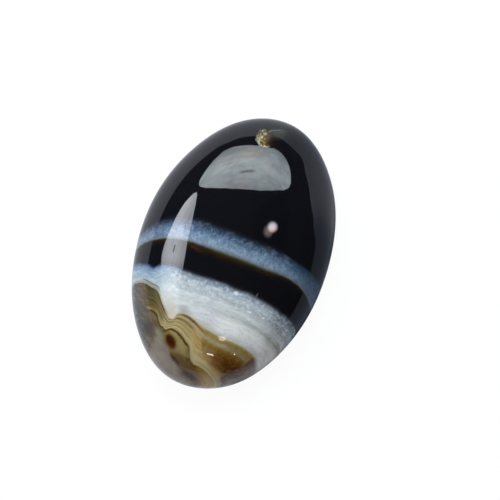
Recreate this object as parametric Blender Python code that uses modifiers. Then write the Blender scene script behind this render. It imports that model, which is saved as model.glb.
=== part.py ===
"""Banded agate cabochon: one polished oval stone with a high domed face, a rounded
back and a flat spot that it rests on. A small natural pit breaks the face near one end.

Frame: the origin is the middle of the flat spot, +Z points up through the dome and
+Y runs along the stone towards the end with the pit. Lengths are in metres.
"""

import math

import bmesh
import bpy
from mathutils import Matrix, Vector, noise

# Driving dimensions of the stone
LENGTH = 0.0250
WIDTH = 0.01687
DOME_RISE = 0.00557
GIRDLE_HEIGHT = 0.0016

# The flat spot's width as a share of the outline's
FLAT_SHARE = 0.60

# How far the hand-ground outline strays from a true ellipse:
# waves round the outline, share of the radius, and the angle of a crest from +Y
OUTLINE_WAVES = (
    (3, 0.0034, math.radians(26.4)),
    (4, 0.0026, math.radians(8.7)),
    (5, 0.0021, math.radians(-9.8)),
    (8, 0.0017, math.radians(12.4)),
)

# Natural pit in the face: its middle, half sizes and turn, how far the middle of
# the lens that shapes it stands above the face, and the lumps of its walls
PIT_PLACE = (-0.00055, 0.01055)
PIT_HALF_SIZE = (0.00118, 0.00078, 0.00060)
PIT_TURN = math.radians(12)
PIT_LIFT = 0.00015
LUMP_SHARE = 0.16
LUMP_PITCH = 0.0007

# Facets, and the distance under which points are one
STEPS_AROUND = 96
DOME_RINGS = 24
BACK_RINGS = 6
PIT_SUBDIVISIONS = 3
MERGE = 1e-6

HALF_LENGTH = LENGTH / 2
HALF_WIDTH = WIDTH / 2


def clear_scene():
    for obj in list(bpy.data.objects):
        bpy.data.objects.remove(obj)


def new_collection(name):
    collection = bpy.data.collections.new(name)
    bpy.context.scene.collection.children.link(collection)
    return collection


def polished_agate():
    """Nearly black, highly polished chalcedony."""
    material = bpy.data.materials.new("polished_agate")
    material.use_nodes = True
    shader = material.node_tree.nodes["Principled BSDF"]
    shader.inputs["Base Color"].default_value = (0.012, 0.012, 0.016, 1)
    shader.inputs["Roughness"].default_value = 0.06
    shader.inputs["Metallic"].default_value = 0
    shader.inputs["IOR"].default_value = 1.54
    return material


def half_section():
    """The stone's section, from the crown out to the girdle and in to the flat spot.

    Its distances from the axis are those along the stone.
    """
    points = []
    for ring in range(DOME_RINGS + 1):
        angle = math.pi / 2 * ring / DOME_RINGS
        height = GIRDLE_HEIGHT + DOME_RISE * math.cos(angle)
        points.append((HALF_LENGTH * math.sin(angle), height))
    for ring in range(1, BACK_RINGS + 1):
        angle = math.pi / 2 * ring / BACK_RINGS
        share = 1 - (1 - FLAT_SHARE) * (1 - math.cos(angle))
        points.append((HALF_LENGTH * share, GIRDLE_HEIGHT * (1 - math.sin(angle))))
    points.append((0, 0))
    return points


def round_blank(collection):
    """The section turned about Z into a blank as wide as the stone is long."""
    points = half_section()
    mesh = bpy.data.meshes.new("blank")
    edges = [(i, i + 1) for i in range(len(points) - 1)]
    mesh.from_pydata([(out, 0, height) for out, height in points], edges, [])
    blank = bpy.data.objects.new("blank", mesh)
    collection.objects.link(blank)
    turn = blank.modifiers.new("turn", "SCREW")
    turn.axis = "Z"
    turn.angle = math.tau
    turn.steps = turn.render_steps = STEPS_AROUND
    turn.use_merge_vertices = True
    turn.merge_threshold = MERGE
    return blank


def outline_factor(angle):
    """Radius of the ground outline over that of the true ellipse."""
    factor = 1
    for waves, share, crest in OUTLINE_WAVES:
        factor += share * math.cos(waves * (angle - crest))
    return factor


def ground_stone(blank, collection):
    """The blank's mesh, ground to the oval outline and centred over the origin."""
    graph = bpy.context.evaluated_depsgraph_get()
    mesh = bpy.data.meshes.new_from_object(blank.evaluated_get(graph))
    bpy.data.objects.remove(blank)
    bm = bmesh.new()
    bm.from_mesh(mesh)
    bmesh.ops.remove_doubles(bm, verts=bm.verts, dist=MERGE)
    for vert in bm.verts:
        factor = outline_factor(math.atan2(vert.co.x, vert.co.y))
        vert.co.x *= factor * HALF_WIDTH / HALF_LENGTH
        vert.co.y *= factor
    for axis in (0, 1):
        places = [vert.co[axis] for vert in bm.verts]
        middle = (min(places) + max(places)) / 2
        for vert in bm.verts:
            vert.co[axis] -= middle
    bmesh.ops.recalc_face_normals(bm, faces=bm.faces)
    bm.to_mesh(mesh)
    bm.free()
    mesh.shade_smooth()
    mesh.set_sharp_from_angle(angle=math.radians(30))
    mesh.materials.append(polished_agate())
    stone = bpy.data.objects.new("agate", mesh)
    collection.objects.link(stone)
    return stone


def face_point(x, y):
    """The point of the dome over (x, y) and the dome's outward normal there."""
    flatness = 1 - (x / HALF_WIDTH) ** 2 - (y / HALF_LENGTH) ** 2
    rise = DOME_RISE * math.sqrt(flatness)
    normal = Vector((x / HALF_WIDTH**2, y / HALF_LENGTH**2, rise / DOME_RISE**2))
    return Vector((x, y, GIRDLE_HEIGHT + rise)), normal.normalized()


def pit_cutter(collection):
    """A lumpy lens set into the face: what it takes away is the pit."""
    place, normal = face_point(*PIT_PLACE)
    bm = bmesh.new()
    bmesh.ops.create_icosphere(bm, subdivisions=PIT_SUBDIVISIONS, radius=1)
    for vert in bm.verts:
        vert.co *= Vector(PIT_HALF_SIZE)
        vert.co *= 1 + LUMP_SHARE * noise.noise(vert.co / LUMP_PITCH)
    upright = normal.to_track_quat("Z", "Y").to_matrix().to_4x4()
    middle = Matrix.Translation(place + normal * PIT_LIFT)
    bm.transform(middle @ upright @ Matrix.Rotation(PIT_TURN, 4, "Z"))
    mesh = bpy.data.meshes.new("pit_cutter")
    bm.to_mesh(mesh)
    bm.free()
    cutter = bpy.data.objects.new("pit_cutter", mesh)
    cutter.hide_render = True
    cutter.display_type = "WIRE"
    collection.objects.link(cutter)
    return cutter


def cut_pit(stone, cutter):
    pit = stone.modifiers.new("pit", "BOOLEAN")
    pit.operation = "DIFFERENCE"
    pit.solver = "EXACT"
    pit.object = cutter


clear_scene()
agate_collection = new_collection("banded_agate")
cutter_collection = new_collection("cutters")
agate = ground_stone(round_blank(agate_collection), agate_collection)
cut_pit(agate, pit_cutter(cutter_collection))
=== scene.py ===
"""A polished cabochon of sulemani agate, lying on its flat spot on white paper.

The stone is one piece. Its lengths are metres; the maths of its bands is in millimetres.
"""

import math

import bmesh
import bpy
from mathutils import Matrix, Vector, noise


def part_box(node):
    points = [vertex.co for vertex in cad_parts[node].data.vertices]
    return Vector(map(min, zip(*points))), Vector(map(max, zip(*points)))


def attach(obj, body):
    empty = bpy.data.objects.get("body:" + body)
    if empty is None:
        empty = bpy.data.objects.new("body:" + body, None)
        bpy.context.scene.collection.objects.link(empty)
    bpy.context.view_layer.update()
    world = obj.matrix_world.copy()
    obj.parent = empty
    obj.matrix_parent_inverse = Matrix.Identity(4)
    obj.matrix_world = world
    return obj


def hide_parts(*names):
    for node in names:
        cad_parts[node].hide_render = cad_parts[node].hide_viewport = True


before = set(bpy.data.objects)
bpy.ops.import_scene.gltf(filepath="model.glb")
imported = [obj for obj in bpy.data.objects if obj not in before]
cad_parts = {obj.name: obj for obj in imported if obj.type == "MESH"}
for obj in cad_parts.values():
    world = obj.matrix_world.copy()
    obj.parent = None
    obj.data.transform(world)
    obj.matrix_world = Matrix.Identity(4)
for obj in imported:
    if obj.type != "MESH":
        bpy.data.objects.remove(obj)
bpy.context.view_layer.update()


# The stone. One piece of chalcedony, ground to an oval with a high dome over a
# rounded back and polished all over. Near the black end a natural pit is left,
# which the polishing wheel never reached, so its sugary crystals still show.

stone_low, stone_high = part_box("agate")
half_width = (stone_high.x - stone_low.x) / 2
half_length = (stone_high.y - stone_low.y) / 2
girdle_height = 0.0016
dome_rise = stone_high.z - girdle_height
flat_share = 0.60
flat_latitude = math.radians(40)
outline_waves = (
    (3, 0.0034, math.radians(26.4)),
    (4, 0.0026, math.radians(8.7)),
    (5, 0.0021, math.radians(-9.8)),
    (8, 0.0017, math.radians(12.4)),
)
smooth_rounds = 7


def outline_factor(angle):
    """Radius of the hand-ground outline over that of the true ellipse."""
    factor = 1
    for waves, share, crest in outline_waves:
        factor += share * math.cos(waves * (angle - crest))
    return factor


def stone_point(ball):
    """Where a point of the unit ball lies on the stone's polished skin."""
    out = math.hypot(ball.x, ball.y)
    if ball.z >= 0:
        share, height = out, girdle_height + dome_rise * ball.z
    else:
        latitude = math.asin(min(1, -ball.z))
        if latitude < flat_latitude:
            turn = math.pi / 2 * latitude / flat_latitude
            share = 1 - (1 - flat_share) * (1 - math.cos(turn))
            height = girdle_height * (1 - math.sin(turn))
        else:
            left = math.pi / 2 - latitude
            share = flat_share * left / (math.pi / 2 - flat_latitude)
            height = 0
    if out < 1e-9:
        return Vector((0, 0, height))
    share *= outline_factor(math.atan2(ball.x, ball.y)) / out
    return Vector((ball.x * share * half_width, ball.y * share * half_length, height))


# The pit: its middle in the face, its turn, half sizes and depth
pit_x, pit_y = -0.00050, 0.01036
pit_turn = math.radians(14)
pit_reach = (0.00130, 0.00104)
pit_depth = 0.00046
crystal_size = 0.00021
crystal_relief = 0.00011
# How far from its middle anything of it can lie, and the waves a metre of its ragged edge
pit_span = 0.0022
coarse_rag, fine_rag = 3600, 9000
# Round it the mesh is halved so many times more, as far out as this
pit_rounds = 3
pit_fine_reach = 0.0019

flatness = 1 - (pit_x / half_width) ** 2 - (pit_y / half_length) ** 2
pit_middle = Vector((pit_x, pit_y, girdle_height + dome_rise * math.sqrt(flatness)))
pit_normal = Vector(
    (pit_x / half_width**2, pit_y / half_length**2, math.sqrt(flatness) / dome_rise)
).normalized()
pit_across = pit_normal.cross(Vector((0, -1, 0))).normalized()
pit_across.rotate(Matrix.Rotation(pit_turn, 3, pit_normal))
pit_up = pit_normal.cross(pit_across)


def soft_step(value, start, end):
    share = min(1, max(0, (value - start) / (end - start)))
    return share * share * (3 - 2 * share)


def pit_shape(point):
    """How deep the pit is under a point of the face, how crystalline it is there, and
    how far in from its edge the point lies."""
    offset = point - pit_middle
    if offset.length > pit_span:
        return 0, 0, 0
    u = offset.dot(pit_across) / pit_reach[0]
    v = offset.dot(pit_up) / pit_reach[1]
    ragged = noise.noise(point * coarse_rag) * 0.10 + noise.noise(point * fine_rag) * 0.06
    edge = math.hypot(u, v * (1.0 + 0.25 * u)) + ragged * (1 if u < 0.2 else 0.3)
    slope = 0.2 + 0.8 * soft_step(u, -0.45, 0.35)
    inside = min(1, max(0, (1 - edge) / slope))
    shallow = 1 - 0.96 * soft_step(u, -0.62, 0.16)
    sugar = soft_step(-u + ragged * 1.6, 0.18, 0.42)
    sugar += soft_step(-v + ragged, 0.6, 0.78) * soft_step(-u, -0.3, 0.5)
    sugar = min(1, sugar) * (1 if inside > 0 else 0)
    near = noise.voronoi(point / crystal_size)[1][0]
    lean = noise.cell_vector(near * 7)
    facet = (point / crystal_size - near).dot(lean - Vector((0.5, 0.5, 0.5)))
    depth = pit_depth * shallow * inside * (2 - inside) + crystal_relief * facet * sugar * inside
    return depth, sugar, max(0, 1 - edge)


def by_pit(vert):
    return (stone_point(vert.co.normalized()) - pit_middle).length < pit_fine_reach


# A ball, finer round the pit, pushed out to the stone's skin. It is kept a hair
# inside the solid's own box.
bm = bmesh.new()
bmesh.ops.create_icosphere(bm, subdivisions=smooth_rounds, radius=1)
for _ in range(pit_rounds):
    near_pit = [edge for edge in bm.edges if all(by_pit(vert) for vert in edge.verts)]
    bmesh.ops.subdivide_edges(bm, edges=near_pit, cuts=1, use_grid_fill=True)
bmesh.ops.triangulate(bm, faces=bm.faces)
for vert in bm.verts:
    vert.co = stone_point(vert.co.normalized())
low = Vector(min(vert.co[axis] for vert in bm.verts) for axis in range(3))
high = Vector(max(vert.co[axis] for vert in bm.verts) for axis in range(3))
inside_box = 1 - 1e-6
fit = Matrix.Diagonal(
    (
        2 * half_width / (high.x - low.x) * inside_box,
        2 * half_length / (high.y - low.y) * inside_box,
        1,
    )
).to_4x4()
bm.transform(fit @ Matrix.Translation((-(low.x + high.x) / 2, -(low.y + high.y) / 2, 0)))
sugar_layer = bm.verts.layers.float.new("sugar")
hollow_layer = bm.verts.layers.float.new("hollow")
for vert in bm.verts:
    depth, sugar, inside = pit_shape(vert.co)
    vert[sugar_layer], vert[hollow_layer] = sugar, inside
    vert.co -= pit_normal * depth
for face in bm.faces:
    face.smooth = sum(vert[sugar_layer] for vert in face.verts) < 1.5
for edge in bm.edges:
    at_rim = len({vert[hollow_layer] > 0 for vert in edge.verts}) == 2
    edge.smooth = not at_rim or edge.verts[0].co.x > pit_x
stone_mesh = bpy.data.meshes.new("agate_stone")
bm.to_mesh(stone_mesh)
bm.free()
stone = bpy.data.objects.new("agate_stone", stone_mesh)
bpy.context.scene.collection.objects.link(stone)


class Value:
    """A number that varies over a surface. Arithmetic on it adds Math nodes."""

    def __init__(self, paint, socket):
        self.paint = paint
        self.socket = socket

    def join(self, operation, *terms):
        return self.paint.node("Math", {"operation": operation}, dict(enumerate(terms)))

    def __add__(self, other):
        return self.join("ADD", self, other)

    def __sub__(self, other):
        return self.join("SUBTRACT", self, other)

    def __rsub__(self, other):
        return self.join("SUBTRACT", other, self)

    def __mul__(self, other):
        return self.join("MULTIPLY", self, other)

    def __truediv__(self, other):
        return self.join("DIVIDE", self, other)

    def __pow__(self, other):
        return self.join("POWER", self, other)

    def __abs__(self):
        return self.join("ABSOLUTE", self)

    __radd__ = __add__
    __rmul__ = __mul__


class Paint:
    """The nodes of one material, or of the world."""

    def __init__(self, owner):
        self.owner = owner
        owner.use_nodes = True
        self.tree = owner.node_tree
        self.tree.nodes.clear()

    def node(self, kind, settings, sockets, output=0):
        """Adds a node: its type, its settings, and the values or links of its sockets.

        Two settings are made up: stops, a ramp's colours, and line, a curve's points.
        """
        node = self.tree.nodes.new("ShaderNode" + kind)
        for name, value in settings.items():
            if name == "stops":
                node.color_ramp.elements[0].position = value[0][0]
                node.color_ramp.elements[1].position = value[-1][0]
                for place, colour in value[1:-1]:
                    node.color_ramp.elements.new(place)
                for element, (place, colour) in zip(node.color_ramp.elements, value):
                    element.color = colour
            elif name == "line":
                line = node.mapping.curves[0].points
                line[0].location, line[1].location = value[0], value[-1]
                for place in value[1:-1]:
                    line.new(*place)
                node.mapping.update()
            else:
                setattr(node, name, value)
        for name, value in sockets.items():
            if isinstance(value, Value):
                self.tree.links.new(value.socket, node.inputs[name])
            else:
                node.inputs[name].default_value = value
        return Value(self, node.outputs[output]) if node.outputs else None

    def rise(self, value, start, end):
        """0 before start, 1 past end, and a soft step between."""
        ends = {"Value": value, "From Min": start, "From Max": end}
        return self.node("MapRange", {"interpolation_type": "SMOOTHSTEP"}, ends)

    def mix(self, factor, under, over):
        """One colour over another, as far as factor says."""
        # A Mix node's sockets 6 and 7 are its two colours, and its output 2 is their mix
        return self.node("Mix", {"data_type": "RGBA"}, {0: factor, 6: under, 7: over}, 2)

    def clouds(self, first, second, third, scale, detail, distortion=0):
        """Cloudy noise, 0 to 1, over three values that take the place of x, y and z."""
        at = self.node("CombineXYZ", {}, {0: first, 1: second, 2: third})
        kind = {"Vector": at, "Scale": scale, "Detail": detail, "Distortion": distortion}
        return self.node("TexNoise", {}, kind)

    def curve(self, value, points, across, up):
        """A smooth line through points, over the span across and within the span up."""
        line = []
        for place, height in points:
            share = (place - across[0]) / (across[1] - across[0])
            line.append((share, (height - up[0]) / (up[1] - up[0])))
        along = (value - across[0]) / (across[1] - across[0])
        return self.node("FloatCurve", {"line": line}, {"Value": along}) * (up[1] - up[0]) + up[0]

    def shine(self, colour, strength):
        """A light of so much times a colour."""
        lit = self.node("VectorMath", {"operation": "SCALE"}, {0: colour, "Scale": strength})
        return self.node("Emission", {}, {"Color": lit})


def look(red, green, blue):
    """A finish's linear colour, from the 0 to 255 levels that it shows in even light."""
    levels = [level / 255 for level in (red, green, blue)]
    return (*[((c + 0.055) / 1.055) ** 2.4 if c > 0.04 else c / 12.92 for c in levels], 1)


# The stone's own sheets. The bands are sheets that lean back through the stone, so
# what tells them apart is the level: the distance along the stone, less the lean.
agate = Paint(bpy.data.materials.new("polished_agate"))
mm_per_metre = 1000
place = agate.node("TexCoord", {}, {}, "Object")
place = agate.node("VectorMath", {"operation": "SCALE"}, {0: place, "Scale": mm_per_metre})
x, y, height = [agate.node("SeparateXYZ", {}, {0: place}, axis) for axis in range(3)]
sheet_lean = 0.5
girdle_mm = girdle_height * mm_per_metre


def grain(scale, detail=2, stretch=(1, 1, 1)):
    """Cloudy grain, 0 to 1, with so many clouds a millimetre."""
    pulled = agate.node("VectorMath", {"operation": "MULTIPLY"}, {0: place, 1: stretch})
    return agate.node("TexNoise", {}, {"Vector": pulled, "Scale": scale, "Detail": detail})


waver = (grain(1.3, 2) - 0.5) * 0.10 + (grain(5.0, 2) - 0.5) * 0.07
level = y - (height - girdle_mm) * sheet_lean + waver
across_stone = (-8.6, 8.6)
level_span = (-13.5, 1.5)


def sheet(*points):
    """The level of a sheet across the stone, through points of (x, level)."""
    return agate.curve(x, points, across_stone, level_span)


def bands(value, *stops):
    """Colours met along value. Each stop is its place and the levels it shows."""
    low, span = stops[0][0], stops[-1][0] - stops[0][0]
    ramp = [((stop - low) / span, look(*levels)) for stop, *levels in stops]
    return agate.node("ValToRGB", {"stops": ramp}, {0: (value - low) / span})


def under(line, soft):
    """1 below a sheet, 0 above it."""
    return agate.rise(line - level, -soft, soft)


def vein(line, half, soft):
    """1 within half a width of a sheet."""
    return 1 - agate.rise(abs(level - line), half - soft, half + soft)


def between(value, start, end, soft):
    """1 from start to end."""
    past_start = agate.rise(value, start - soft, start + soft)
    return past_start * (1 - agate.rise(value, end - soft, end + soft))


def spot(middle, reach, turn, soft):
    """1 within an oval patch at (x, level), of half sizes reach, turned anticlockwise."""
    cos, sin = math.cos(math.radians(turn)), math.sin(math.radians(turn))
    right = (x - middle[0]) * cos + (level - middle[1]) * sin
    up = (level - middle[1]) * cos - (x - middle[0]) * sin
    far = ((right / reach[0]) ** 2 + (up / reach[1]) ** 2) ** 0.5
    return 1 - agate.rise(far, 1 - soft, 1 + soft)


def cloud(colour, noise, strength, dark, light):
    """Clouds a colour with noise, towards a dark one and a light one."""
    colour = agate.mix((noise - 0.5) * strength, colour, look(*light))
    return agate.mix((0.5 - noise) * strength, colour, look(*dark))


def dabs(colour, *patches):
    """Oval patches over a colour. Each is its middle, half sizes, turn, softness, how
    far it covers, and the levels it shows."""
    for middle, reach, turn, soft, strength, levels in patches:
        colour = agate.mix(spot(middle, reach, turn, soft) * strength, colour, look(*levels))
    return colour


black = (13, 13, 17)

# The white zone, under the black band. Its layers lie along its top, and are met from
# there down: at the left end, in the middle, to the right, and at the right end.
white_top = sheet(
    (-8.5, -4.45), (-7.6, -4.88), (-7.0, -5.2), (-6.4, -5.42), (-6.05, -5.62), (-5.8, -5.68),
    (-5.55, -5.5), (-5.2, -5.44), (-4.4, -5.4), (-3.8, -5.45), (-3.2, -5.6), (-2.6, -5.68),
    (-2, -5.71), (-0.8, -5.69), (0, -5.66), (0.6, -5.64), (1.2, -5.69), (1.85, -5.68), (2.4, -5.56),
    (3.2, -5.54), (4.5, -5.48), (5.2, -5.43), (6.5, -5.2), (8.5, -5.05),
)
heart_top = sheet(
    (-8.5, -6.2), (-6.6, -6.7), (-6.1, -6.88), (-5.5, -7.18), (-4.9, -7.46), (-4.55, -7.78),
    (-4.1, -8.38), (-3.6, -8.9), (-3.3, -9.2), (-2.95, -9.45), (-2.6, -9.4), (-2.42, -9.02),
    (-1.9, -8.9), (-1, -9.1), (0, -9.4), (1, -9.55), (2, -9.54), (3.2, -9.4), (4.5, -9.3),
    (5.0, -9.29), (5.25, -9.36), (5.5, -9.5), (5.8, -9.8), (6.3, -10.7), (8.5, -12.5),
)
white_depth = white_top - level
frost_left = bands(
    white_depth, (-0.25, *black), (-0.1, 20, 28, 48), (0, 50, 66, 92), (0.12, 84, 102, 126),
    (0.3, 106, 127, 150), (0.5, 116, 142, 162), (0.65, 138, 158, 172), (0.8, 128, 147, 162),
    (1.0, 143, 160, 172), (1.3, 152, 165, 173), (2.0, 172, 182, 186),
)
frost_mid = bands(
    white_depth, (-0.25, *black), (-0.1, 22, 22, 28), (0, 42, 44, 52), (0.1, 80, 84, 93),
    (0.2, 108, 116, 126), (0.35, 122, 134, 146), (0.5, 138, 151, 160), (0.7, 168, 177, 182),
    (0.9, 177, 182, 184), (1.2, 169, 175, 177), (1.4, 175, 182, 184), (1.6, 196, 202, 202),
    (2.0, 190, 194, 195), (2.2, 187, 191, 192), (2.6, 198, 200, 201), (3.0, 200, 202, 205),
    (3.5, 188, 188, 184),
)
frost_right = bands(
    white_depth, (-0.25, *black), (-0.1, 30, 32, 36), (0, 55, 59, 66), (0.1, 94, 99, 107),
    (0.2, 119, 127, 136), (0.3, 130, 141, 151), (0.45, 150, 161, 173), (0.6, 172, 183, 193),
    (0.8, 184, 193, 198), (1.2, 176, 182, 184), (1.4, 187, 194, 196), (1.65, 205, 209, 209),
    (1.85, 206, 210, 207), (2.0, 196, 199, 196), (2.2, 178, 181, 178), (2.45, 222, 222, 217),
    (2.8, 234, 234, 229), (3.4, 224, 224, 225), (3.8, 205, 204, 198),
)
frost_far = bands(
    white_depth, (-0.25, *black), (0, 25, 28, 33), (0.2, 62, 68, 76), (0.3, 80, 87, 95),
    (0.45, 102, 110, 120), (0.6, 122, 129, 138), (0.8, 144, 149, 157), (1.2, 142, 144, 152),
    (1.4, 146, 148, 154), (1.65, 176, 176, 179), (1.85, 190, 189, 188), (2.05, 160, 161, 152),
    (2.25, 132, 135, 118), (2.5, 178, 176, 166), (2.8, 208, 203, 195), (3.3, 214, 210, 205),
)
frost = agate.mix(agate.rise(x, -5.2, -3.4), frost_left, frost_mid)
frost = agate.mix(agate.rise(x, 0.2, 1.8), frost, frost_right)
frost = agate.mix(agate.rise(x, 5.0, 6.0), frost, frost_far)

# Streaks lie along the white's top, but along its foot at the left end, and they
# fade where the one way crosses into the other. Grain sparkles near the top.
left_end = 1 - agate.rise(x, -5.4, -3.6)
lie = white_depth * (1 - left_end) + (heart_top - level) * left_end
streaks = agate.clouds(x * 0.8, lie * 4.5, height * 0.8, 1.1, 4, 0.4)
snow = agate.rise(white_depth, 0.0, 0.3)
crossing = left_end * (1 - left_end) * 3.4
frost = cloud(frost, streaks, snow * (1 - crossing), (105, 122, 134), (246, 249, 250))
granular = snow * (1 - agate.rise(white_depth, 0.8, 2.2) * 0.7) * (1 - left_end * 0.8)
frost = cloud(frost, grain(3.2, 4), granular * 1.5, (84, 100, 118), (238, 243, 246))
fine_grain = granular * (0.5 + agate.rise(x, 1.5, 4.5) * 1.3)
frost = cloud(frost, grain(5.6, 2), fine_grain, (80, 88, 102), (208, 214, 222))
flake = (236, 238, 240)
frost = dabs(
    frost,
    ((1.65, -6.02), (0.2, 0.15), 0, 0.6, 0.7, flake),
    ((3.3, -6.85), (0.2, 0.08), 10, 0.6, 0.7, flake),
    ((4.6, -6.65), (0.12, 0.08), 20, 0.6, 0.8, flake),
    ((3.4, -7.35), (0.12, 0.06), 10, 0.6, 0.6, flake),
    ((3.36, -5.4), (0.05, 0.2), -8, 0.6, 0.09, flake),
    ((0.7, -7.2), (0.16, 0.05), 20, 0.6, 0.5, flake),
)

# Towards the heart the white turns cream, with a dark thread at the left end
over_heart = level - heart_top
cream = (1 - agate.rise(over_heart, 0.0, 0.32)) * (0.75 - agate.rise(x, 1.5, 3.0) * 0.45)
frost = agate.mix(cream, frost, look(184, 173, 146))
frost = dabs(frost, ((-3.3, -8.6), (0.9, 0.5), -48, 0.8, 0.6, (176, 166, 146)))
olive_hem = between(over_heart, 0.0, 0.16, 0.08) * between(x, -4.5, -2.9, 0.3)
frost = agate.mix(olive_hem * 0.55, frost, look(150, 140, 112))
frost = dabs(
    frost,
    ((-2.0, -8.62), (0.5, 0.26), -8, 0.8, 0.6, (140, 138, 130)),
    ((-2.8, -9.35), (0.36, 0.3), 0, 0.8, 0.8, (198, 186, 156)),
)
left_tip = 1 - agate.rise(x, -4.9, -4.4)
pale_thread = left_tip * between(over_heart, 0.02, 0.15, 0.05)
frost = agate.mix(pale_thread * 0.85, frost, look(138, 126, 106))
dark_thread = left_tip * between(over_heart, 0.19, 0.29, 0.06) * agate.rise(x, -6.8, -6.1)
frost = agate.mix(dark_thread * 0.85, frost, look(52, 54, 48))

# The bands of the heart, from the dark scalloped line up to its top: at the left end,
# round the bend, in the middle, and towards the tongue
scallops = sheet(
    (-8.5, -8.7), (-5.0, -8.95), (-4.5, -9.1), (-4.2, -9.3), (-4.0, -9.5), (-3.75, -9.84),
    (-3.5, -10.09), (-3.2, -10.2), (-2.98, -10.36), (-2.75, -10.27), (-2.5, -10.21), (-2.2, -10.24),
    (-1.9, -10.33), (-1.5, -10.52), (-1.2, -10.7), (-0.9, -10.9), (-0.6, -11.03), (-0.35, -11.3),
    (-0.15, -11.7), (0.1, -11.9), (1.0, -11.98), (2.0, -12.1), (8.5, -13.2),
)
depth = (level - scallops) / (heart_top - scallops)
bands_left = bands(
    depth, (0, 70, 58, 20), (0.04, 94, 82, 40), (0.1, 124, 110, 68), (0.16, 113, 100, 58),
    (0.21, 84, 70, 32), (0.26, 88, 74, 36), (0.32, 104, 91, 50), (0.37, 106, 93, 54),
    (0.42, 90, 79, 42), (0.47, 74, 64, 34), (0.54, 94, 84, 53), (0.62, 102, 92, 62),
    (0.68, 88, 80, 52), (0.75, 98, 90, 60), (0.82, 86, 78, 50), (0.88, 70, 64, 40),
    (1.0, 76, 70, 52),
)
bands_bend = bands(
    depth, (0, 66, 52, 18), (0.05, 78, 64, 28), (0.12, 112, 97, 60), (0.2, 136, 120, 80),
    (0.27, 136, 120, 80), (0.34, 108, 92, 54), (0.4, 98, 83, 44), (0.46, 116, 101, 60),
    (0.52, 102, 88, 48), (0.58, 124, 110, 69), (0.66, 96, 82, 48), (0.72, 106, 92, 62),
    (0.79, 126, 111, 82), (0.86, 108, 95, 70), (0.91, 70, 60, 36), (0.97, 52, 46, 26),
    (1.0, 66, 60, 40),
)
bands_mid = bands(
    depth, (0, 60, 44, 6), (0.035, 76, 60, 18), (0.08, 142, 124, 80), (0.13, 170, 152, 107),
    (0.19, 182, 164, 120), (0.24, 164, 146, 104), (0.28, 140, 122, 82), (0.31, 146, 128, 86),
    (0.37, 176, 157, 113), (0.43, 160, 142, 98), (0.48, 138, 120, 76), (0.52, 154, 136, 90),
    (0.56, 170, 152, 105), (0.61, 148, 131, 88), (0.67, 108, 92, 52), (0.71, 112, 96, 56),
    (0.77, 166, 146, 110), (0.81, 172, 152, 118), (0.86, 134, 113, 84), (0.9, 92, 70, 42),
    (0.94, 96, 75, 48), (0.98, 140, 122, 96), (1.0, 168, 152, 126),
)
banded = agate.mix(agate.rise(x, -4.6, -4.0), bands_left, bands_bend)
brown_line = between(depth, 0.87, 0.985, 0.03) * (1 - agate.rise(x, -2.3, -1.7))
bands_mid = agate.mix(brown_line * 0.75, bands_mid, look(158, 143, 112))
bands_end = bands(
    depth, (0, 96, 78, 34), (0.03, 128, 106, 60), (0.08, 178, 162, 120), (0.17, 170, 152, 108),
    (0.25, 186, 166, 116), (0.32, 178, 158, 104), (0.37, 190, 170, 112), (0.42, 160, 140, 84),
    (0.46, 168, 144, 90), (0.5, 186, 154, 100), (0.54, 158, 132, 78), (0.58, 182, 150, 98),
    (0.63, 152, 126, 72), (0.68, 170, 140, 84), (0.72, 184, 160, 112), (0.77, 160, 140, 90),
    (0.81, 178, 162, 120), (0.85, 156, 138, 96), (0.9, 150, 130, 92), (0.95, 164, 146, 104),
    (1.0, 178, 164, 130),
)
bands_mid = agate.mix(agate.rise(x, -1.0, -0.2) * 0.85, bands_mid, bands_end)
banded = agate.mix(agate.rise(x, -3.8, -3.1), banded, bands_mid)
threads = agate.clouds(x * 0.7, depth * 13, height * 0.7, 1.6, 3)
banded = cloud(banded, threads, 1.25, (66, 54, 20), (196, 182, 146))
banded = dabs(banded, ((0.55, -9.8), (0.22, 0.16), -30, 0.6, 1, (104, 70, 26)))
brown_sheet = sheet(
    (-8.5, -8.5), (-1.2, -9.13), (-0.6, -9.36), (0, -9.62), (0.6, -9.88), (8.5, -13),
)
brown_vein = vein(brown_sheet, 0.06, 0.08) * between(x, -0.9, 0.6, 0.2)
banded = agate.mix(brown_vein * 0.9, banded, look(108, 76, 38))
brown_streak = between(x + (level + 7.65) * 0.44, -6.08, -5.8, 0.14)
brown_streak = brown_streak * between(depth, 0.1, 0.85, 0.15)
banded = agate.mix(brown_streak * 0.6, banded, look(96, 70, 40))
banded = dabs(banded, ((-5.55, -7.75), (1.1, 0.6), -45, 0.8, 0.5, (54, 46, 24)))

# The rind that shuts the heart in on the left. Smoke drifts down through it to the right.
heart_side = agate.curve(
    level,
    (
        (-13.5, -3.6), (-10.8, -4.0), (-10, -4.4), (-9.3, -4.85), (-9.0, -5.06), (-8.5, -5.38),
        (-8.1, -5.68), (-7.5, -5.98), (-6.9, -6.3), (-6, -6.7),
    ),
    (-13.5, -6), (-8, -1),
)
from_side = x - heart_side
with_drift = (x * 0.8 - level * 0.6) * 0.9
over_drift = x * 0.6 + level * 0.8
smoke = agate.clouds(with_drift, over_drift * 4.2, height * 0.9, 1.5, 4)
rind = bands(
    from_side, (-1.2, 68, 71, 64), (-0.6, 70, 68, 60), (-0.25, 82, 74, 64), (-0.05, 90, 70, 50),
    (0.1, 84, 66, 38),
)
rind = cloud(rind, smoke, 1.6, (36, 32, 30), (132, 126, 120))

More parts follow.
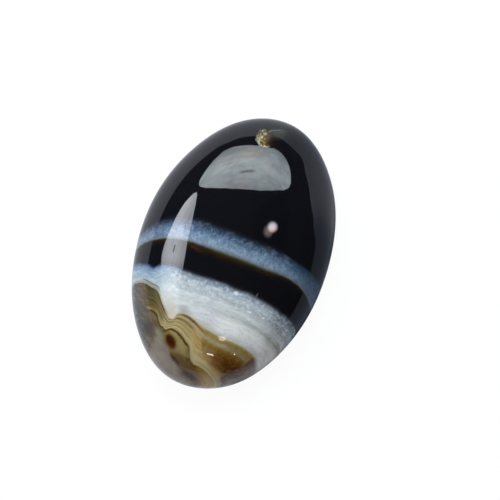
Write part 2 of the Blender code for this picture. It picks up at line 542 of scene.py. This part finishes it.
# Under the scalloped line: grey-green chalcedony round a red-brown eye
under_line = scallops - level
base = bands(
    under_line, (0, 74, 62, 22), (0.08, 96, 82, 40), (0.35, 92, 77, 38), (0.6, 62, 47, 20),
    (0.9, 84, 72, 46), (1.4, 105, 98, 80),
)
base_mid = bands(
    under_line, (0, 64, 48, 8), (0.07, 104, 84, 38), (0.14, 150, 132, 84), (0.35, 146, 128, 80),
    (0.9, 134, 115, 76), (1.5, 118, 102, 70),
)
base = agate.mix(agate.rise(x, -4.1, -3.5), base, look(118, 108, 79))
base = agate.mix(agate.rise(x, -2.9, -2.5), base, base_mid)
base = dabs(
    base,
    ((-3.1, -11.2), (1.2, 0.55), -38, 0.6, 1, (116, 112, 90)),
    ((-2.3, -11.75), (0.7, 0.35), -30, 0.7, 1, (120, 106, 88)),
    ((-3.9, -10.65), (0.5, 0.18), -35, 0.8, 0.6, (66, 54, 34)),
    ((-2.75, -10.5), (0.25, 0.14), -10, 0.7, 0.7, (152, 120, 70)),
)
base = cloud(base, grain(2.4, 3), 0.7, (60, 48, 24), (172, 160, 128))
drift = agate.clouds(with_drift, over_drift * 1.9, height * 0.9, 1.5, 4)
base = cloud(base, drift, 1.1 - agate.rise(x, -3.4, -2.6) * 0.4, (66, 58, 47), (150, 144, 130))
smoky = 1.2 * (1 - agate.rise(x, -3.6, -2.4) * 0.6)
base = cloud(base, smoke, smoky, (52, 46, 41), (144, 136, 125))
base = dabs(
    base,
    ((-3.75, -10.0), (0.5, 0.2), -42, 0.8, 0.6, (88, 74, 42)),
    ((-2.95, -10.38), (0.26, 0.12), 0, 0.8, 0.7, (78, 54, 14)),
    ((-2.23, -10.95), (0.78, 0.38), -34, 0.5, 0.75, (112, 84, 42)),
    ((-2.14, -11.02), (0.63, 0.3), -36, 0.35, 1, (72, 38, 6)),
    ((-2.22, -10.95), (0.46, 0.2), -36, 0.5, 1, (54, 24, 6)),
)

# A brown tract runs on from the eye along the foot of the scalloped line
tract_top = sheet(
    (-8, -13.3), (-2.2, -12.0), (-1.9, -11.68), (-1, -11.62), (-0.4, -11.72), (0.1, -11.88),
    (1.0, -11.98), (2, -12.1), (8, -13),
)
tract_foot = sheet(
    (-8, -11), (-2.0, -11.74), (-1.6, -11.99), (-1.2, -12.15), (-0.8, -12.33), (-0.4, -12.48),
    (0.2, -12.64), (1, -12.7), (8, -13),
)
tract = bands(
    tract_top - level, (0, 118, 102, 62), (0.1, 104, 88, 54), (0.3, 96, 76, 44), (0.5, 98, 76, 46),
    (0.7, 96, 72, 44), (1.0, 74, 52, 28),
)
tract = agate.mix(agate.rise(x, 0.4, 1.3), tract, look(142, 108, 46))
base = agate.mix(under(tract_top, 0.1) * (1 - under(tract_foot, 0.08)), base, tract)
foot_vein = vein(tract_foot + 0.05, 0.1, 0.08) * agate.rise(x, -2.0, -1.5)
foot_vein = foot_vein * (1 - agate.rise(x, -1.0, -0.4) * 0.6)
base = agate.mix(foot_vein, base, look(64, 42, 12))
under_tract = cloud(look(126, 112, 98), drift, 1.0, (86, 74, 64), (162, 153, 146))
base = agate.mix(under(tract_foot - 0.1, 0.06), base, under_tract)
tract_end = cloud(look(168, 140, 92), smoke, 1.6, (96, 66, 30), (196, 178, 140))
base = agate.mix(agate.rise(x, 1.2, 2.2), base, tract_end)
base = dabs(
    base,
    ((0.85, -12.3), (0.5, 0.12), -4, 0.8, 0.6, (94, 66, 34)),
    ((0.35, -12.6), (0.85, 0.15), -2, 0.8, 0.85, (44, 20, 6)),
    ((-0.2, -11.85), (0.2, 0.1), -20, 0.7, 0.7, (60, 44, 14)),
)
line_end = vein(scallops - 0.08, 0.05, 0.06) * between(x, 0.05, 0.75, 0.15)
base = agate.mix(line_end * 0.8, base, look(62, 42, 10))
base = dabs(base, ((-0.45, -11.4), (0.28, 0.16), -60, 0.8, 0.5, (84, 74, 36)))

# The amber field, to the right of the bands. Its layers are met from the heart's top
# down: beside the bands, in its middle and on its far side. Past that it turns dusky.
amber_foot = sheet(
    (-8, -9.2), (-0.6, -9.6), (0.0, -9.95), (0.4, -10.5), (0.75, -11.05), (1.2, -11.4),
    (1.6, -11.62), (2.2, -11.8), (3, -11.9), (8, -13),
)
amber_near = bands(
    heart_top - level, (0, 160, 148, 114), (0.1, 144, 128, 86), (0.25, 142, 120, 73),
    (0.38, 150, 128, 86), (0.5, 164, 149, 109), (0.65, 148, 134, 90), (0.8, 136, 114, 56),
    (1.0, 132, 104, 45), (1.2, 138, 113, 66), (1.6, 150, 122, 76), (2.0, 168, 144, 98),
)
amber_mid = bands(
    heart_top - level, (0, 172, 160, 124), (0.12, 154, 134, 90), (0.25, 143, 122, 72),
    (0.38, 152, 134, 95), (0.5, 165, 155, 121), (0.65, 153, 138, 99), (0.8, 134, 105, 53),
    (1.0, 116, 82, 24), (1.25, 107, 70, 22), (1.7, 112, 73, 36), (1.95, 116, 78, 42),
    (2.15, 139, 107, 64), (2.4, 178, 148, 88),
)
amber_far = bands(
    heart_top - level, (0, 184, 168, 130), (0.12, 158, 134, 90), (0.25, 144, 118, 68),
    (0.38, 142, 122, 72), (0.5, 140, 122, 80), (0.65, 150, 128, 92), (0.8, 128, 100, 52),
    (1.0, 114, 80, 28), (1.25, 94, 58, 8), (1.6, 84, 44, 5), (2.0, 86, 48, 4), (2.2, 132, 104, 70),
)
amber = agate.mix(agate.rise(x, 1.1, 2.2), amber_near, amber_mid)
amber = agate.mix(agate.rise(x, 2.2, 3.1), amber, amber_far)
amber = cloud(amber, grain(2.8, 3), 0.8, (70, 40, 6), (190, 168, 124))
amber_side = agate.curve(
    level,
    (
        (-13, 2.6), (-11.5, 3.2), (-11.1, 3.75), (-10.5, 4.28), (-9.9, 4.64), (-9.4, 5.0),
        (-9.1, 5.3), (-8, 5.6),
    ),
    (-13, -8), (2, 7),
)
dusky = bands(
    x - amber_side, (0, 92, 64, 40), (0.2, 98, 72, 54), (0.4, 112, 90, 80), (0.62, 136, 120, 112),
    (1.2, 166, 158, 152),
)
dusky = cloud(dusky, grain(2.8, 3), 0.9, (86, 66, 50), (176, 164, 150))
amber = dabs(amber, ((2.1, -11.75), (0.7, 0.2), 4, 0.8, 0.5, (176, 148, 88)))
amber = agate.mix(agate.rise(x - amber_side, -0.08, 0.16), amber, dusky)

# The tongue of bands that hangs down between the eye and the amber
lobe = bands(
    level - scallops, (0, 128, 108, 62), (0.04, 160, 138, 94), (0.1, 190, 170, 122),
    (0.2, 160, 142, 104), (0.32, 178, 162, 124), (0.45, 184, 166, 122), (0.56, 168, 142, 92),
    (0.66, 160, 134, 82), (0.76, 176, 152, 100), (0.86, 158, 132, 78), (0.95, 182, 160, 108),
    (1.1, 170, 146, 92),
)
lobe = dabs(
    lobe,
    ((0.68, -11.12), (0.26, 0.08), 8, 0.8, 0.6, (146, 104, 54)),
    ((0.35, -11.55), (0.5, 0.25), -15, 0.7, 0.7, (182, 168, 130)),
)

# The heart put together, then laid under the white
beside = (1 - under(amber_foot, 0.2)) * agate.rise(x, -0.2, 0.6)
in_lobe = agate.rise(x, -0.2, 0.4) * (1 - agate.rise(level, -11.35, -11.0))
heart = agate.mix(in_lobe, banded, lobe)
heart = agate.mix(under(scallops, 0.05), heart, base)
in_rind = 1 - agate.rise(from_side, -0.08, 0.14)
in_rind += (1 - agate.rise(from_side, -0.1, 0.7)) * agate.rise(scallops - level, -0.05, 0.1)
heart = agate.mix(in_rind, heart, rind)
heart = dabs(heart, ((-4.5, -10.15), (0.75, 0.24), -36, 0.8, 0.75, (42, 34, 30)))
dark_line = vein(scallops, 0.04, 0.075) * agate.rise(x, -5.1, -4.7)
dark_line = dark_line * (1 - agate.rise(x, -1.1, -0.4))
heart = agate.mix(dark_line * 0.85, heart, look(56, 40, 5))
heart = agate.mix(beside, heart, amber)
heart_edge = 0.06 + agate.rise(x, 4.9, 5.3) * 0.3
colour = agate.mix(agate.rise(heart_top - level, heart_edge * -1, heart_edge), frost, heart)

# The black band, the grey-blue band over it with its golden foot, and the black end
blue_foot = sheet(
    (-8.5, -3.5), (-6.9, -3.2), (-5.8, -3.1), (-3.9, -3.12), (-2.4, -3.24), (-1, -3.28),
    (0.5, -3.28), (2, -3.2), (3.45, -3.04), (4.9, -2.72), (5.7, -2.62), (6.5, -2.56), (8.5, -2.8),
)
blue_top = sheet(
    (-8.5, -2.2), (-7.4, -1.66), (-6.4, -1.36), (-5.5, -1.2), (-3.2, -1.16), (-1.7, -1.31),
    (0, -1.35), (1.3, -1.38), (3.4, -1.16), (5, -1.1), (6.7, -0.92), (8.5, -0.7),
)
blue_depth = (level - blue_foot) / (blue_top - blue_foot)
blue = bands(
    blue_depth, (-0.4, *black), (-0.27, 19, 16, 12), (-0.18, 31, 25, 12), (-0.1, 47, 42, 25),
    (-0.04, 72, 72, 63), (0.03, 106, 113, 116), (0.14, 115, 129, 145), (0.3, 110, 129, 150),
    (0.45, 95, 114, 136), (0.6, 69, 87, 108), (0.75, 42, 55, 72), (0.87, 34, 43, 57),
    (0.97, 23, 28, 37), (1.06, 16, 18, 23), (1.15, *black),
)
speckle = grain(5.5, 3)
in_blue = between(blue_depth, 0.02, 0.95, 0.1)
mottled = between(blue_depth, 0.05, 0.78, 0.14)
blue = cloud(blue, speckle, mottled * 1.25, (28, 42, 64), (160, 182, 202))
blue = cloud(blue, grain(2.5, 3), mottled * 1.5, (34, 56, 88), (158, 178, 200))
blue = cloud(blue, grain(1.4, 3), in_blue * 0.8, (44, 58, 78), (150, 168, 186))
hues = grain(1.9, 2, (1, 1.3, 0.9))
blue = cloud(blue, hues, mottled * 1.1, (96, 98, 136), (72, 116, 132))
rust = between(blue_depth, -0.3, -0.05, 0.08)
blue = agate.mix(rust * agate.rise(grain(1.4, 3), 0.4, 0.7) * 0.3, blue, look(50, 34, 16))
blue = agate.mix(between(x, -3.7, -1.7, 0.5) * rust * 0.6, blue, look(32, 22, 14))
blue = dabs(blue, ((-3.15, -3.6), (0.6, 0.11), -16, 0.9, 0.5, (66, 38, 20)))
ends = agate.rise(abs(x), 5.2, 7.6) * (0.2 + 0.8 * agate.rise(x, -7.4, -6.6))
blue = agate.mix(in_blue * ends * 0.6, blue, look(36, 44, 56))
blue = agate.mix(in_blue * agate.rise(x, 3.6, 5.2) * 0.3, blue, look(50, 78, 106))
faint_foot = (1 - agate.rise(blue_depth, -0.1, 0.0)) * agate.rise(abs(x - 0.6), 3.4, 5.2)
blue = agate.mix(faint_foot * 0.6, blue, look(*black))
colour = agate.mix(1 - under((white_top + blue_foot) * 0.5, 0.05), colour, blue)

# The pit breaks through to sugary golden crystals, with a smooth amber floor
sugar = agate.node("Attribute", {"attribute_name": "sugar"}, {}, "Fac")
hollow = agate.node("Attribute", {"attribute_name": "hollow"}, {}, "Fac")
cream_crystals = bands(
    speckle, (0.3, 84, 74, 44), (0.42, 130, 122, 92), (0.54, 168, 161, 136), (0.7, 214, 210, 196),
)
cream_crystals = agate.mix(agate.rise(x, -0.95, -0.5) * 0.55, cream_crystals, look(86, 82, 60))
gold_crystals = bands(
    speckle, (0.3, 30, 19, 2), (0.42, 62, 43, 5), (0.52, 96, 73, 20), (0.6, 134, 109, 42),
    (0.72, 196, 176, 108),
)
crystals = agate.mix(agate.rise(hollow, 0.2, 0.42), cream_crystals, gold_crystals)
floor = agate.mix(agate.rise(x, -0.95, -0.3), look(70, 42, 4), look(22, 15, 9))
in_pit = agate.rise(hollow, 0.0, 0.1)
colour = agate.mix(in_pit * (1 - agate.rise(x, -0.4, 0.3)), colour, floor)
# Over the pit's far side, grey patches and a paler line along its lip are a painted reflection
colour = dabs(
    colour,
    ((-0.3, 9.85), (0.85, 0.24), 34, 0.6, 0.7, (58, 59, 52)),
    ((-0.12, 9.55), (0.85, 0.5), 48, 0.8, 0.6, (46, 44, 37)),
    ((-0.42, 10.06), (0.8, 0.05), 34, 0.5, 0.7, (92, 94, 86)),
)
colour = agate.mix(agate.rise(sugar, 0.2, 0.7), colour, crystals)

polish = 0.03
agate_ior = 1.54
roughness = polish + in_pit * (1 - agate.rise(x, -1.0, -0.6)) * 0.4
roughness += in_pit * (1 - agate.rise(x, -0.5, 0.3)) * 0.1
finish = {"Base Color": colour, "Roughness": roughness, "IOR": agate_ior}
agate.node("OutputMaterial", {}, {"Surface": agate.node("BsdfPrincipled", {}, finish)})
stone_mesh.materials.append(agate.owner)
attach(stone, "root")
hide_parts("agate")


# The paper. The stone lies on a white sheet, whose far edges curl up all round.

paper_radius = 0.30
paper_sides = 120
paper_white = (0.88, 0.88, 0.88, 1)
paper_gap = 0.00002
lowest_edge = 0.002
# Where the edge stands, as a turn to the right from the top of the picture, and
# the angle above level at which the stone sees it
paper_edge = (
    (-75, 0), (-45, 0), (-30, 2), (-17, 7), (-2, 11), (22, 13), (38, 14), (49, 12),
    (60, 18), (74, 20), (87, 15), (98, 4), (110, 0), (160, 0), (170, 4), (200, 10),
    (224, 13), (238, 16), (258, 8), (270, 0),
)
# The stone's black end is turned so far to the right of the top of the picture
picture_turn = math.radians(21.3)


def bearing(turn, tilt):
    """A direction: turned to the right from the top of the picture, tilted up from level."""
    angle = math.radians(turn) - picture_turn
    flat = math.cos(math.radians(tilt))
    return Vector((math.sin(angle) * flat, math.cos(angle) * flat, math.sin(math.radians(tilt))))


def edge_tilt(turn):
    """The paper edge's angle above level, between the places where it is known."""
    places = [(a - 360, e) for a, e in paper_edge] + list(paper_edge)
    places += [(a + 360, e) for a, e in paper_edge]
    for (a, low_tilt), (b, high_tilt) in zip(places, places[1:]):
        if a <= turn <= b:
            share = (turn - a) / (b - a)
            return low_tilt + (high_tilt - low_tilt) * share * share * (3 - 2 * share)


bm = bmesh.new()
bmesh.ops.create_circle(bm, cap_ends=True, segments=paper_sides, radius=paper_radius)
wall = bmesh.ops.extrude_edge_only(bm, edges=bm.edges[:])
for vert in wall["geom"]:
    if isinstance(vert, bmesh.types.BMVert):
        turn = math.degrees(math.atan2(vert.co.x, vert.co.y) + picture_turn)
        vert.co.z = paper_radius * math.tan(math.radians(edge_tilt(turn))) + lowest_edge
bmesh.ops.translate(bm, verts=bm.verts, vec=(0, 0, -paper_gap))
bmesh.ops.recalc_face_normals(bm, faces=bm.faces)
paper_mesh = bpy.data.meshes.new("paper")
bm.to_mesh(paper_mesh)
bm.free()
paper = bpy.data.objects.new("paper", paper_mesh)
bpy.context.scene.collection.objects.link(paper)
white = Paint(bpy.data.materials.new("white_paper"))
on_sheet = white.node("TexCoord", {}, {}, "Object")
sheet_x, sheet_y = [white.node("SeparateXYZ", {}, {0: on_sheet}, axis) for axis in range(2)]
# How bright the sheet is towards each side, as the stone mirrors it: it is in full
# light to the left of the stone and beyond it, and dim to the right
paper_light = (
    (-180, 0.62), (-120, 0.78), (-40, 0.76), (15, 0.80), (36, 0.52), (56, 0.60), (70, 0.64),
    (85, 0.44), (100, 0.28), (135, 0.29), (180, 0.62),
)
turned = sheet_x.join("ARCTAN2", sheet_x, sheet_y) + picture_turn
turned = turned.join("WRAP", turned, math.pi, -math.pi) * (180 / math.pi)
paper_glow = white.curve(turned, paper_light, (-180, 180), (0, 1))
in_light = white.rise(paper_glow, 0.3, 0.75)
tint = white.mix(in_light, (0.68, 0.79, 1.02, 1), (0.91, 0.94, 1.05, 1))
diffuse = white.node("BsdfDiffuse", {}, {"Color": paper_white})
# Patches make the sheet's painted glow, as the stone mirrors it, brighter and dimmer by turns
patches = white.node("TexNoise", {}, {"Vector": on_sheet, "Scale": 26, "Detail": 3})
# Beside the stone the sheet lies in its shade, on the sides away from the light
from_stone = ((sheet_x / half_width) ** 2 + (sheet_y / half_length) ** 2) ** 0.5
stone_shade = (
    (-180, 0.5), (-160, 0), (45, 0), (80, 0.85), (94, 0.75), (103, 0.1), (112, 0.3), (124, 0.9),
    (155, 0.9), (180, 0.5),
)
shade = white.curve(turned, stone_shade, (-180, 180), (0, 1))
shade = shade * (1 - white.rise(from_stone, 1.02, 1.35))
glow = white.shine(tint, paper_glow * (0.8 + patches * 0.4) * (1 - shade))
# The camera sees the sheet bleached by the light, and the stone mirrors its glow
bleached = white.node("Emission", {}, {"Color": (1.02, 1.02, 1.02, 1)})
seen = white.node("LightPath", {}, {}, "Is Camera Ray")
glossy = white.node("LightPath", {}, {}, "Is Glossy Ray")
shown = white.node("MixShader", {}, {0: seen * 0.92, 1: diffuse, 2: bleached})
sheet_look = white.node("MixShader", {}, {0: glossy, 1: shown, 2: glow})
white.node("OutputMaterial", {}, {"Surface": sheet_look})
paper_mesh.materials.append(white.owner)


# The lamps. A wide cloth-covered light stands beyond the black end, a tall narrow
# one to the left, and a small round lamp on the right shows as a pink spot. Three
# specks of light by the foot of the picture are small bare bulbs.

lamp_distance = 0.45


def lamp_card(name, middle, outline, corner):
    """A flat light facing the stone, its outline in units of its distance. It returns
    its paint and how far a point of it is across and up from its middle."""
    away = middle.normalized()
    across = Vector((0, 0, 1)).cross(away).normalized()
    up = away.cross(across)
    bm = bmesh.new()
    verts = [bm.verts.new(lamp_distance * (away + a * across + b * up)) for a, b in outline]
    bm.faces.new(verts)
    if corner:
        bmesh.ops.bevel(
            bm, geom=bm.verts[:], affect="VERTICES", offset=corner * lamp_distance,
            offset_type="OFFSET", segments=6, profile=0.5, material=-1,
        )
    mesh = bpy.data.meshes.new(name)
    bm.to_mesh(mesh)
    bm.free()
    paint = Paint(bpy.data.materials.new(name))
    mesh.materials.append(paint.owner)
    card = bpy.data.objects.new(name, mesh)
    card.visible_camera = False
    bpy.context.scene.collection.objects.link(card)
    point = paint.node("TexCoord", {}, {}, "Object")
    directions = [axis / lamp_distance for axis in (across, up)]
    return paint, *[
        paint.node("VectorMath", {"operation": "DOT_PRODUCT"}, {0: point, 1: axis}, "Value")
        for axis in directions
    ]


def light_up(paint, colour, strength):
    paint.node("OutputMaterial", {}, {"Surface": paint.shine(colour, strength)})


# The wide light is brightest in its middle, and its cloth is creased and streaky
cloth, across, up = lamp_card(
    "wide_light", Vector((-0.2835, 0.7116, 0.6429)),
    (
        (0.69, -0.02), (0.735, -0.085), (0.74, -0.165), (0.68, -0.265), (0.6, -0.355),
        (0.48, -0.43), (0.33, -0.395), (0.165, -0.32), (-0.03, -0.245), (-0.21, -0.21),
        (-0.335, -0.185), (-0.455, -0.14), (-0.59, -0.065), (-0.715, 0.035), (-0.805, 0.145),
        (-0.855, 0.27), (-0.825, 0.345), (-0.7, 0.4), (-0.445, 0.42), (-0.22, 0.405),
        (-0.005, 0.355), (0.2, 0.29), (0.39, 0.2), (0.57, 0.085),
    ),
    0.015,
)
from_ridge = up + across * 0.25 - 0.06
folds = cloth.clouds(across * 1.6, from_ridge * 6, 0, 2.2, 5, 0.6)
crease = 1 - cloth.rise(abs(up + across * 0.17 - 0.148), 0.004, 0.03)
crease = crease * (1 - cloth.rise(abs(across - 0.03), 0.05, 0.14))
glow = 3.3 + 4.2 * (1 - cloth.rise(abs(from_ridge), 0.02, 0.42))
glow = glow * (1 - 0.25 * cloth.rise(abs(across - 0.15), 0.2, 0.8))
weave = cloth.clouds(across, up * 1.6, 0, 11, 4)
hue = cloth.clouds(across, up * 1.6, 0, 2.4, 1)
warm = cloth.rise(hue, 0.35, 0.75) * (1 - cloth.rise(abs(across - 0.12), 0.1, 0.6))
tint = cloth.mix(warm, (0.81, 0.94, 1.0, 1), (0.97, 0.95, 0.93, 1))
light_up(cloth, tint, glow * (0.3 + folds * 0.9 + weave * 0.5) * (1 - crease * 0.55))

# The narrow light fades towards its foot
strip, across, up = lamp_card(
    "narrow_light", Vector((-0.7793, -0.1157, 0.6159)),
    (
        (-0.48, 0.015), (-0.508, -0.03), (-0.495, -0.08), (-0.39, -0.16), (-0.25, -0.208),
        (-0.1, -0.246), (-0.035, -0.272), (0.03, -0.272), (0.18, -0.198), (0.3, -0.15),
        (0.43, -0.06), (0.525, 0.045), (0.62, 0.14), (0.64, 0.185), (0.575, 0.25), (0.465, 0.262),
        (0.35, 0.245), (0.21, 0.243), (0.12, 0.24), (0.02, 0.225), (-0.065, 0.198), (-0.21, 0.165),
        (-0.3, 0.13), (-0.385, 0.087),
    ),
    0.012,
)
folds = strip.clouds(across * 2, up * 8, 0, 2.5, 4)
glow = 8.4 + 1.6 * (1 - strip.rise(across, -0.45, -0.2))
glow = glow - 5.5 * strip.rise(across, 0.02, 0.2) - 1.9 * strip.rise(across, 0.2, 0.5)
glow = glow * (1 - 0.35 * strip.rise(abs(up + 0.05 - across * 0.4), 0.05, 0.28))
speck = 1 - strip.rise(abs(across + 0.02), 0.015, 0.035)
speck = speck * (1 - strip.rise(abs(up + 0.019), 0.006, 0.02))
light_up(strip, (0.9, 0.94, 1.0), glow * (0.7 + folds * 0.6) * (1 - speck * 0.75))

# The round lamp, with light spilling past it to one side
bulb, across, up = lamp_card(
    "round_lamp", Vector((0.3857, 0.2849, 0.8775)),
    ((-0.25, -0.25), (0.25, -0.25), (0.25, 0.25), (-0.25, 0.25)), 0,
)
# Its own image lies turned, so these are right and down as the stone shows it
shown_right = across * -0.87 - up * 71.6
shown_down = up * 49.8 - across * 121.3
core = ((shown_right + 0.4) ** 2 + ((shown_down + 1.2) * 0.9) ** 2) ** 0.5
spill = ((shown_right + 4.5) ** 2 + ((shown_down - 3.0) * 0.75) ** 2) ** 0.5
glow = 13.5 * (1 - bulb.rise(core, 1.6, 6.3)) + 2.6 * (1 - bulb.rise(spill, 1.5, 6.2))
tint = bulb.mix(bulb.rise(shown_down, -4, 3), (0.96, 0.93, 1.0, 1), (1.0, 0.82, 0.8, 1))
light_up(bulb, tint, glow)

# The three small bulbs
for name, middle, outline, colour, strength in (
    (
        "long_bulb", Vector((0.2254, -0.7907, 0.569)),
        (
            (-0.045, 0.035), (-0.008, 0.02), (0.041, 0.002), (0.066, -0.022), (0.048, -0.03),
            (-0.004, -0.006), (-0.043, 0.012),
        ),
        (1.0, 0.86, 0.8), 14,
    ),
    (
        "pin_bulb", Vector((0.5794, -0.6828, 0.4442)),
        ((-0.02, 0.008), (-0.013, -0.014), (0.001, -0.01), (-0.007, 0.014)), (1.0, 0.93, 0.78), 24,
    ),
    (
        "warm_bulb", Vector((0.298, -0.607, 0.737)),
        (
            (-0.062, 0.046), (-0.022, 0.034), (0.027, 0.022), (0.062, -0.02), (0.044, -0.042),
            (0.003, -0.042), (-0.04, -0.016),
        ),
        (1.0, 0.88, 0.78), 6.5,
    ),
):
    paint, across, up = lamp_card(name, middle, outline, 0.01)
    light_up(paint, colour, strength)

# A weak, soft light from above, which the polish doesn't show
fill_height = 0.5
fill = bpy.data.lights.new("fill", "AREA")
fill.shape = "DISK"
fill.size = 0.5
fill.energy = 0.5
fill_light = bpy.data.objects.new("fill", fill)
fill_light.location = (0, 0, fill_height)
fill_light.visible_glossy = False
fill_light.visible_camera = False
bpy.context.scene.collection.objects.link(fill_light)

# The room is dark where the stone mirrors it, and white where the camera sees it
room = Paint(bpy.data.worlds.new("room"))
seen = room.node("LightPath", {}, {}, "Is Camera Ray")
dark = room.node("Background", {}, {"Color": (0.02, 0.021, 0.024, 1)})
pale = room.node("Background", {}, {"Color": (1, 1, 1, 1)})
room.node("OutputWorld", {}, {"Surface": room.node("MixShader", {}, {0: seen, 1: dark, 2: pale})})
bpy.context.scene.world = room.owner


# The camera. It looks almost straight down, leaning a little towards the foot of
# the picture, where the stone lies with its black end up and to the right.

camera_lens = 120
camera_distance = 0.1482
camera_lean = 3
# The picture's middle lies so far to the right of the stone's and above it
shift_right, shift_up = 0.001485, 0.000231
right = bearing(90, 0)
up = bearing(0, 0)
target = shift_right * right + shift_up * up + Vector((0, 0, girdle_height))
back = bearing(180, 90 - camera_lean)
camera_data = bpy.data.cameras.new("camera")
camera_data.lens = camera_lens
camera_data.sensor_width = 36
camera_data.clip_start = 0.001
camera = bpy.data.objects.new("camera", camera_data)
picture_up = back.cross(right).normalized()
camera.matrix_world = Matrix(
    (
        (right.x, picture_up.x, back.x, target.x + back.x * camera_distance),
        (right.y, picture_up.y, back.y, target.y + back.y * camera_distance),
        (right.z, picture_up.z, back.z, target.z + back.z * camera_distance),
        (0, 0, 0, 1),
    )
)
bpy.context.scene.collection.objects.link(camera)
bpy.context.scene.camera = camera
bpy.context.scene.view_settings.view_transform = "Standard"
